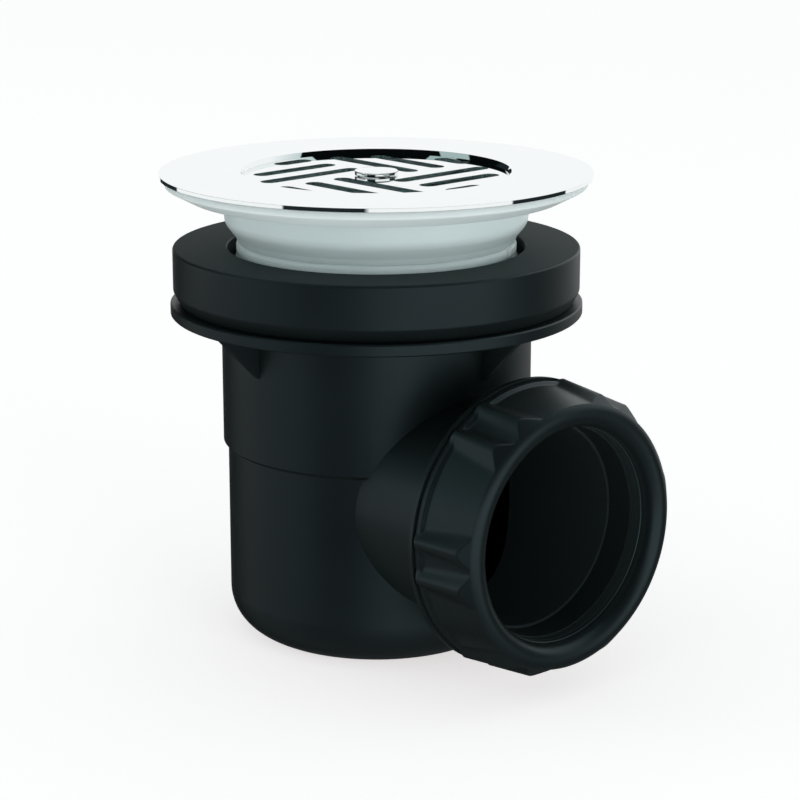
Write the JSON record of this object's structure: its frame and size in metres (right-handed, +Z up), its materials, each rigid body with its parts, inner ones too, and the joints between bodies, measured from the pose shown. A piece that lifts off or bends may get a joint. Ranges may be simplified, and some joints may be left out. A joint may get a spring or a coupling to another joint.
{
  "type": "shower trap",
  "caption": "Shower trap with a chrome slotted grid, white threaded flange, thick tray gasket and a black moulded body with a side outlet and lobed pipe nut.",
  "frame": {"origin": "on the drain's axis, at the underside of the body", "axes": "+Z up along the drain's axis, +X along the outlet, out of its mouth"},
  "size_m": [0.0998, 0.085, 0.0935],
  "materials": {
    "chrome": "polished",
    "white_plastic": "satin",
    "gasket_rubber": "matt",
    "seal_rubber": "matt",
    "black_plastic": "satin",
    "nut_plastic": "satin"
  },
  "bodies": {
    "trap": {"cover_plate": "chrome", "grid": "chrome", "grid_knob": "chrome", "upper_flange": "white_plastic", "tray_gasket": "gasket_rubber", "body": "black_plastic", "outlet_seal": "seal_rubber", "dip_tube": "black_plastic", "dip_tube_seal": "seal_rubber", "trap_cup": "black_plastic"},
    "slip_ring": {"slip_ring": "black_plastic"},
    "nut": {"outlet_nut": "nut_plastic"}
  },
  "joints": [
    {"name": "nut_travel", "type": "slide", "parent": "trap", "child": "slip_ring", "axis": [1, 0, 0], "range_m": [0, 0.00693]},
    {"name": "nut_turn", "type": "hinge", "parent": "slip_ring", "child": "nut", "pos_m": [0.05, 0, 0.032], "axis": [1, 0, 0], "range_deg": [0, 1080]}
  ],
  "couplings": [
    {"joint": "nut_travel", "follows": "nut_turn", "m_per_rad": 0.00036749}
  ]
}
